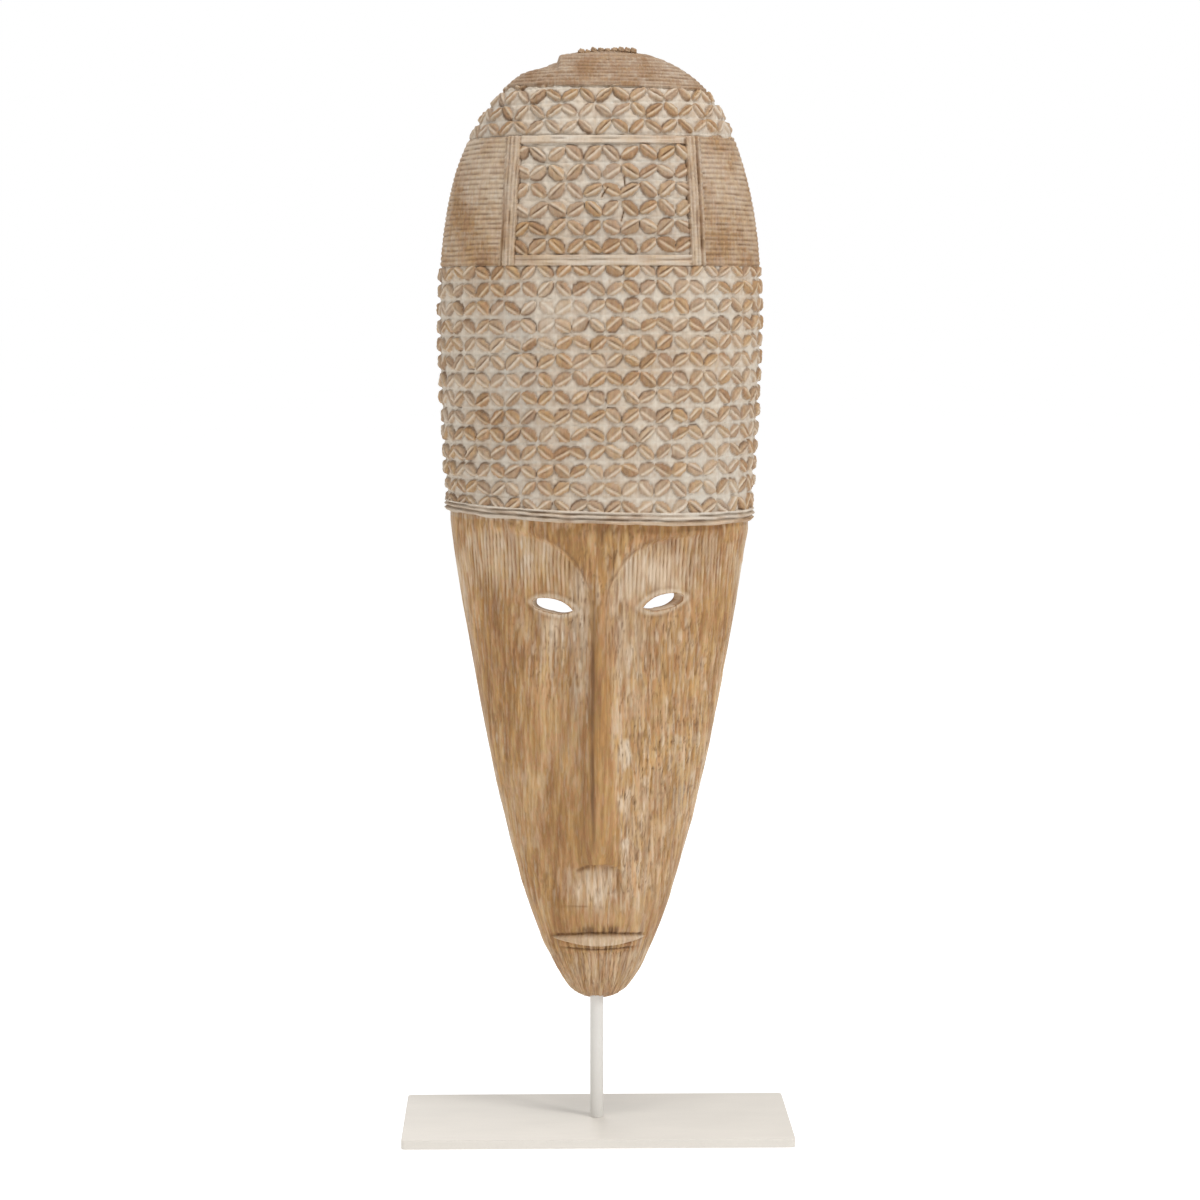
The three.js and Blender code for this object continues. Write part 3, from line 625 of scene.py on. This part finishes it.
def back_grid(z, front):
    """The flat back edge and the hollow, from the front's right edge round to its left, and the ridges
    between the gouge's dishes, for a painted highlight.
    """
    ends = hollow_ends(z)
    inside = (z > HOLLOW_BOTTOM_Z) & (z < HOLLOW_TOP_Z)
    wide = np.where(inside, (half_width(z) - WALL_SIDE) * ends, 0)
    deep = np.where(inside, (depth(z) - WALL_FRONT) * ends, 0)
    x, forward, s = outline(z, wide, deep, HOLLOW_COLUMNS)
    level = np.repeat(z[:, None], HOLLOW_COLUMNS, axis=1)
    hollow = np.stack([x + lean(level), BACK_Y - forward, level], axis=2)

    # The gouge leaves rows of long shallow dishes, each row starting at a level of its own.
    row = (s + 5 * noise(s / 30, level / 50, 300)) / GOUGE_WIDTH + 50
    start = cell_random(np.floor(row), 0 * row, 301) + 0.3 * noise(row, level / 20, 304)
    along = level / GOUGE_LENGTH + start
    dish = np.abs(np.sin(math.pi * row)) ** 0.7 * np.abs(np.sin(math.pi * along)) ** 0.35
    gouge = (1.9 * dish + 0.6 * noise(s / 3, level / 14, 302)) * smooth(0, 6, forward)
    hollow = hollow + normals(hollow) * gouge[..., None]
    hollow = hollow[:, ::-1]
    # Painted highlight: the ridges between the dishes, to be made lighter in tone.
    ridge_highlight = ((1 - dish) ** 2 * smooth(0, 6, forward))[:, ::-1]
    share = np.linspace(0, 1, RIM_COLUMNS + 2)[1:-1][None, :, None]
    right = mix(front[:, -1:], hollow[:, :1], share)
    left = mix(hollow[:, -1:], front[:, :1], share)
    saw = 0.5 * noise(np.repeat(z[:, None], RIM_COLUMNS, axis=1) / 3, share[..., 0] * 4, 303)
    right[..., 1] -= saw
    left[..., 1] -= saw
    ridge_highlight = np.concatenate([0 * right[..., 0], ridge_highlight, 0 * left[..., 0]], axis=1)
    return np.concatenate([right, hollow, left], axis=1), ridge_highlight


FIELDS = ("wash", "dark", "tone", "headdress")


def mesh_from_rings(name, rings, fields):
    """A closed mesh through rings of points, with a flat cap over the first and the last."""
    rows, columns = rings.shape[:2]
    index = np.arange(rows * columns).reshape(rows, columns)
    beside = np.roll(index, -1, axis=1)
    quads = np.stack([index[:-1], beside[:-1], beside[1:], index[1:]], axis=2).reshape(-1, 4)
    mesh = bpy.data.meshes.new(name)
    mesh.from_pydata(rings.reshape(-1, 3) * MM, [], quads)
    for field in FIELDS:
        values = np.broadcast_to(np.clip(fields.get(field, 0), 0, 1), (rows, columns))
        layer = mesh.attributes.new(field, "FLOAT", "POINT")
        layer.data.foreach_set("value", values.astype(np.float32).ravel())
    shape = bmesh.new()
    shape.from_mesh(mesh)
    shape.verts.ensure_lookup_table()
    shape.faces.new([shape.verts[int(i)] for i in index[0][::-1]])
    shape.faces.new([shape.verts[int(i)] for i in index[-1]])
    bmesh.ops.remove_doubles(shape, verts=shape.verts, dist=2e-6)
    bmesh.ops.dissolve_degenerate(shape, edges=shape.edges, dist=1e-6)
    bmesh.ops.recalc_face_normals(shape, faces=shape.faces)
    shape.to_mesh(mesh)
    shape.free()
    return mesh


def add_object(name, mesh):
    thing = bpy.data.objects.new(name, mesh)
    bpy.context.scene.collection.objects.link(thing)
    return thing


def eye_cutter(eye):
    """A pointed slit, sharp at its inner corner and blunt at its outer end, leaning as it goes in."""
    slope = math.tan(math.radians(eye["tilt"]))
    angle = np.linspace(0, 2 * math.pi, 64, endpoint=False)
    along, up = np.cos(angle), np.sin(angle)
    sharpness = mix(1.6, 0.75, (1 + along) / 2)
    lens = np.sign(up) * np.abs(up) ** sharpness * np.where(up > 0, 1.0, 0.75)
    rings = []
    for y in np.linspace(EYE_FACE_Y - EYE_CUT_REACH, EYE_FACE_Y + EYE_CUT_REACH, 12):
        into = (y - EYE_FACE_Y) / WALL_FRONT
        size = 1 - 0.06 * into
        out = EYE_HALF_LENGTH * size * along
        x = eye["side"] * (eye["x"] - eye["lean_x"] * into + out)
        z = eye["z"] + eye["lean_z"] * into + out * slope + eye["high"] * size * lens
        rings.append(np.stack([x, np.full_like(x, y), z], axis=1))
    return mesh_from_rings("eye_cutter", np.stack(rings), {"wash": 1.0, "dark": 0.0, "tone": 0.5})


def bore_cutter():
    angle = np.linspace(0, 2 * math.pi, 40, endpoint=False)
    radius = ROD_RADIUS + BORE_CLEARANCE
    circle = np.stack([radius * np.cos(angle), radius * np.sin(angle), 0 * angle], axis=1)
    rings = np.stack([circle + [0, 0, CHIN_Z - 6], circle + [0, 0, ROD_TOP_Z + BORE_CLEARANCE]])
    return mesh_from_rings("bore_cutter", rings, {"wash": 0.0, "dark": 0.3, "tone": 0.4})


def cut(target, cutter_mesh):
    cutter = add_object(cutter_mesh.name, cutter_mesh)
    modifier = target.modifiers.new("cut", "BOOLEAN")
    modifier.operation = "DIFFERENCE"
    modifier.solver = "MANIFOLD"
    modifier.object = cutter
    result = bpy.data.meshes.new_from_object(target.evaluated_get(bpy.context.evaluated_depsgraph_get()))
    target.modifiers.clear()
    target.data = result
    bpy.data.objects.remove(cutter)


def make_mask():
    z = all_levels()
    front, carving = front_grid(z)
    back, ridge_highlight = back_grid(z, front)
    level = back[..., 2]
    streak = noise(back[..., 0] / 5, level / 40, 310)
    rings = np.concatenate([front, back], axis=1)
    fields = {
        "wash": np.concatenate([carving.wash, 0.05 + 0.15 * streak], axis=1),
        "dark": np.concatenate([carving.dark, 0.2 * streak], axis=1),
        # The ridges of the hollow get a painted highlight here.
        "tone": np.concatenate([carving.tone, 0.2 + 0.5 * streak + 0.3 * ridge_highlight], axis=1),
        "headdress": np.concatenate([(front[..., 2] > FACE_TOP_Z) * 1.0, 0 * level], axis=1),
    }
    mask = add_object("carved_mask", mesh_from_rings("carved_mask", rings, fields))
    cut(mask, bore_cutter())
    for eye in EYES:
        cut(mask, eye_cutter(eye))
    mask.data.polygons.foreach_set("use_smooth", np.ones(len(mask.data.polygons), bool))
    mask.data.set_sharp_from_angle(angle=math.radians(SHARP_DEGREES))
    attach(mask, "head")
    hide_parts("mask")
    return mask


def make_crest_beads():
    """The ragged row of small hand-cut beads along the crest."""
    random = np.random.RandomState(SEED)
    shape = bmesh.new()
    for i in range(BEADS):
        made = bmesh.ops.create_icosphere(shape, subdivisions=4, radius=1)["verts"]
        rise = 0.5 * random.rand() - (1.0 if i < 2 else 0.1)  # the first two are low
        middle = Vector((FIRST_BEAD_X + BEAD_PITCH * i + 0.5 * random.rand(), BEAD_Y, TOP_Z + rise - 0.3))
        size = Vector((1.75 + 0.3 * random.rand(), 2.6, 1.7 + 0.5 * random.rand()))
        for vertex in made:
            x, y, z = vertex.co
            lumpy = 1 + 0.12 * math.sin(3.1 * x + 5 * z + i) * math.cos(4 * z - 2 * y)
            groove = 0.16 * math.exp(-((x - 0.2) / 0.22) ** 2)
            vertex.co = middle + Vector((x * size.x, y * size.y, z * size.z)) * (lumpy - groove)
    for vertex in shape.verts:
        vertex.co *= MM
    mesh = bpy.data.meshes.new("crest_beads")
    shape.to_mesh(mesh)
    shape.free()
    for field, value in (("wash", 0.2), ("dark", 0.3), ("tone", 0.3), ("headdress", 1.0)):
        layer = mesh.attributes.new(field, "FLOAT", "POINT")
        layer.data.foreach_set("value", [value] * len(mesh.vertices))
    mesh.polygons.foreach_set("use_smooth", [True] * len(mesh.polygons))
    beads = add_object("crest_beads", mesh)
    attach(beads, "head")
    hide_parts("mask")
    return beads


# ---- Materials ----

class Nodes:
    """Short calls for building one material's node tree."""

    def __init__(self, name):
        self.material = bpy.data.materials.new(name)
        self.material.use_nodes = True
        self.tree = self.material.node_tree
        self.shader = self.tree.nodes["Principled BSDF"]

    def add(self, kind, inputs=None, **settings):
        node = self.tree.nodes.new(kind)
        for key, value in settings.items():
            setattr(node, key, value)
        for key, value in (inputs or {}).items():
            self.put(node.inputs[key], value)
        return node

    def put(self, socket, value):
        if isinstance(value, bpy.types.NodeSocket):
            self.tree.links.new(value, socket)
        else:
            socket.default_value = value

    def place(self, scale):
        """Object coordinates in metres, stretched by scale along X, Y and Z."""
        where = self.add("ShaderNodeTexCoord").outputs["Object"]
        return self.add("ShaderNodeMapping", {"Vector": where, "Scale": scale}).outputs["Vector"]

    def noise(self, scale, detail=4.0, rough=0.55):
        inputs = {"Vector": self.place(scale), "Scale": 1.0, "Detail": detail, "Roughness": rough}
        return self.add("ShaderNodeTexNoise", inputs).outputs["Fac"]

    def attribute(self, name):
        return self.add("ShaderNodeAttribute", attribute_name=name).outputs["Fac"]

    def ramp(self, value, stops):
        node = self.add("ShaderNodeValToRGB", {"Fac": value})
        ramp = node.color_ramp
        while len(ramp.elements) < len(stops):
            ramp.elements.new(0.5)
        for element, (position, colour) in zip(ramp.elements, stops):
            element.position = position
            element.color = (*colour, 1)
        return node.outputs["Color"]

    def blend(self, share, first, second, mode="MIX"):
        node = self.add("ShaderNodeMix", data_type="RGBA", blend_type=mode)
        self.put(node.inputs[0], share)
        self.put(node.inputs[6], first)
        self.put(node.inputs[7], second)
        return node.outputs[2]

    def maths(self, operation, first, second=0.0, clamp=False):
        node = self.add("ShaderNodeMath", operation=operation, use_clamp=clamp)
        self.put(node.inputs[0], first)
        self.put(node.inputs[1], second)
        return node.outputs[0]

    def bump(self, height, strength, distance, under=None):
        node = self.add("ShaderNodeBump", {"Height": height, "Strength": strength, "Distance": distance})
        if under is not None:
            self.put(node.inputs["Normal"], under)
        return node.outputs["Normal"]

    def finish(self, colour, roughness, normal=None, **others):
        self.put(self.shader.inputs["Base Color"], colour)
        self.put(self.shader.inputs["Roughness"], roughness)
        if normal is not None:
            self.put(self.shader.inputs["Normal"], normal)
        for key, value in others.items():
            self.put(self.shader.inputs[key.replace("_", " ")], value)
        return self.material


def srgb(red, green, blue):
    """An 8-bit screen colour as linear light."""
    def linear(value):
        value /= 255
        return value / 12.92 if value <= 0.04045 else ((value + 0.055) / 1.055) ** 2.4
    return tuple(linear(value) for value in (red, green, blue))


def carved_wood():
    """Dry light wood, its grain along Z, with white wash left in the carving and dark cuts; the wash
    attribute also brings in painted highlights and the dark attribute painted shade.
    """
    n = Nodes("carved_wood")
    grain = n.noise((420, 420, 16), 6, 0.6)
    broad = n.noise((38, 38, 9), 3)
    fleck = n.noise((900, 900, 120), 3, 0.7)
    shade = n.maths("ADD", n.attribute("tone"), n.maths("MULTIPLY", n.maths("SUBTRACT", grain, 0.5), 1.1))
    wood = n.ramp(shade, [
        (0.0, srgb(142, 106, 70)),
        (0.3, srgb(165, 128, 86)),
        (0.55, srgb(182, 146, 101)),
        (0.8, srgb(197, 164, 122)),
        (1.0, srgb(208, 180, 144)),
    ])
    hue = n.noise((170, 170, 70), 3, 0.6)
    hues = n.ramp(hue, [
        (0.36, srgb(255, 243, 222)),
        (0.47, srgb(242, 240, 226)),
        (0.56, srgb(250, 234, 228)),
        (0.66, srgb(236, 232, 222)),
    ])
    wood = n.blend(1.0, wood, hues, "MULTIPLY")
    greyed = n.blend(n.maths("MULTIPLY", n.attribute("headdress"), 0.3), wood, (*srgb(164, 143, 120), 1))
    uneven = n.maths("MULTIPLY", n.maths("SUBTRACT", fleck, 0.5), 0.6)
    wash_and_highlight_amount = n.maths("ADD", n.attribute("wash"), uneven)
    on_face = n.ramp(broad, [(0.35, srgb(216, 193, 166)), (0.65, srgb(208, 193, 172))])
    on_headdress = n.ramp(broad, [(0.35, srgb(208, 196, 179)), (0.65, srgb(203, 196, 184))])
    wash_and_highlight_colour = n.blend(n.attribute("headdress"), on_face, on_headdress)
    washed_and_highlighted = n.blend(n.maths("MULTIPLY", wash_and_highlight_amount, 0.95, clamp=True), greyed, wash_and_highlight_colour)
    dark = n.maths("MULTIPLY", n.attribute("dark"), 0.85, clamp=True)
    colour = n.blend(dark, washed_and_highlighted, (*srgb(108, 80, 55), 1))
    pores = n.noise((1500, 1500, 90), 5, 0.65)
    normal = n.bump(pores, 0.35, 0.0004, n.bump(grain, 0.3, 0.0005))
    roughness = n.maths("ADD", n.maths("MULTIPLY", fleck, 0.2), 0.7)
    return n.finish(colour, roughness, normal, Specular_IOR_Level=0.25)


def powder_coat(name, colour, grime):
    """Matt off-white powder coat: a very fine orange peel, slightly uneven in tone."""
    n = Nodes(name)
    peel = n.noise((900, 900, 900), 3)
    cloud = n.noise((22, 60, 60), 4)
    speck = n.noise((2600, 2600, 2600), 2, 0.8)
    tone = n.ramp(cloud, [(0.35, colour), (0.7, tuple(value * grime for value in colour))])
    tone = n.blend(0.05, tone, n.ramp(speck, [(0.4, (0.2, 0.18, 0.16)), (0.6, (1, 1, 1))]), "MULTIPLY")
    normal = n.bump(peel, 0.25, 0.00025)
    roughness = n.maths("ADD", n.maths("MULTIPLY", peel, 0.2), 0.42)
    return n.finish(tone, roughness, normal, Specular_IOR_Level=0.4)


def pad_rubber():
    n = Nodes("pad_rubber")
    dust = n.noise((700, 700, 700), 4)
    colour = n.ramp(dust, [(0.35, srgb(112, 109, 104)), (0.7, srgb(146, 143, 137))])
    return n.finish(colour, n.maths("ADD", n.maths("MULTIPLY", dust, 0.3), 0.55), n.bump(dust, 0.3, 0.0003))


def screw_steel():
    """Zinc-plated steel, with turning marks round its axis."""
    n = Nodes("screw_steel")
    turned = n.noise((200, 200, 6000), 3)
    stain = n.noise((500, 500, 500), 3)
    colour = n.ramp(stain, [(0.35, srgb(168, 168, 164)), (0.7, srgb(196, 196, 192))])
    roughness = n.maths("ADD", n.maths("MULTIPLY", turned, 0.3), 0.25)
    return n.finish(colour, roughness, n.bump(turned, 0.2, 0.0002), Metallic=1.0)


def floor_white():
    n = Nodes("floor_white")
    soft = n.noise((3, 3, 3), 2)
    colour = n.ramp(soft, [(0.3, (0.44, 0.44, 0.44)), (0.7, (0.46, 0.46, 0.46))])
    n.put(n.shader.inputs["Emission Color"], (1, 1, 1, 1))
    return n.finish(colour, 0.9, Specular_IOR_Level=0.0, Emission_Strength=FLOOR_GLOW)


def wear(thing, material):
    thing.data.materials.clear()
    thing.data.materials.append(material)


def dress_node(node, material):
    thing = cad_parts[node]
    for place in thing.material_slots:
        place.material = material


# ---- The studio ----

def make_floor(material):
    shape = bmesh.new()
    bmesh.ops.create_circle(shape, cap_ends=True, segments=96, radius=FLOOR_RADIUS)
    mesh = bpy.data.meshes.new("floor")
    shape.to_mesh(mesh)
    shape.free()
    floor = add_object("floor", mesh)
    floor.location.z = -FLOOR_DROP
    wear(floor, material)


def aim(thing, target):
    thing.rotation_euler = (Vector(target) - thing.location).to_track_quat("-Z", "Y").to_euler()


def softbox(name, place, size, power):
    light = bpy.data.lights.new(name, "AREA")
    light.shape = "SQUARE"
    light.size = size
    light.energy = power
    thing = bpy.data.objects.new(name, light)
    thing.location = place
    bpy.context.scene.collection.objects.link(thing)
    aim(thing, LIGHT_TARGET)


def make_lights():
    softbox("key", (1.7, -1.2, 1.8), 0.7, 26)
    softbox("fill", (-1.7, -1.4, 1.3), 0.9, 7)
    softbox("top", (0.1, -0.45, 2.4), 1.0, 24)
    softbox("back", (-0.6, 2.0, 1.4), 1.4, 15)
    world = bpy.data.worlds.new("studio")
    world.use_nodes = True
    nodes, links = world.node_tree.nodes, world.node_tree.links
    background = nodes["Background"]
    background.inputs["Color"].default_value = (1, 1, 1, 1)
    path = nodes.new("ShaderNodeLightPath")
    strength = nodes.new("ShaderNodeMapRange")
    strength.inputs["To Min"].default_value = SKY_STRENGTH
    strength.inputs["To Max"].default_value = 1.0  # the plain white behind the object
    links.new(path.outputs["Is Camera Ray"], strength.inputs["Value"])
    links.new(strength.outputs["Result"], background.inputs["Strength"])
    bpy.context.scene.world = world


def make_camera():
    camera = bpy.data.cameras.new("camera")
    camera.sensor_width = 36
    camera.lens = CAMERA_LENS
    camera.clip_start, camera.clip_end = 0.05, 100
    thing = bpy.data.objects.new("camera", camera)
    thing.location = CAMERA_PLACE
    flat = math.cos(CAMERA_PITCH)
    ahead = Vector((math.sin(CAMERA_YAW) * flat, math.cos(CAMERA_YAW) * flat, -math.sin(CAMERA_PITCH)))
    thing.rotation_euler = ahead.to_track_quat("-Z", "Y").to_euler()
    bpy.context.scene.collection.objects.link(thing)
    bpy.context.scene.camera = thing


make_camera()
make_lights()
make_floor(floor_white())
bpy.context.scene.view_settings.view_transform = "Standard"

wood = carved_wood()
wear(make_mask(), wood)
wear(make_crest_beads(), wood)
dress_node("base_plate", powder_coat("plate_coat", srgb(221, 215, 206), 0.95))
dress_node("stand_rod", powder_coat("rod_coat", srgb(226, 223, 217), 0.97))
dress_node("rod_screw", screw_steel())
rubber = pad_rubber()
for pad in ("front_left", "front_right", "rear_left", "rear_right"):
    dress_node("foot_pad_" + pad, rubber)
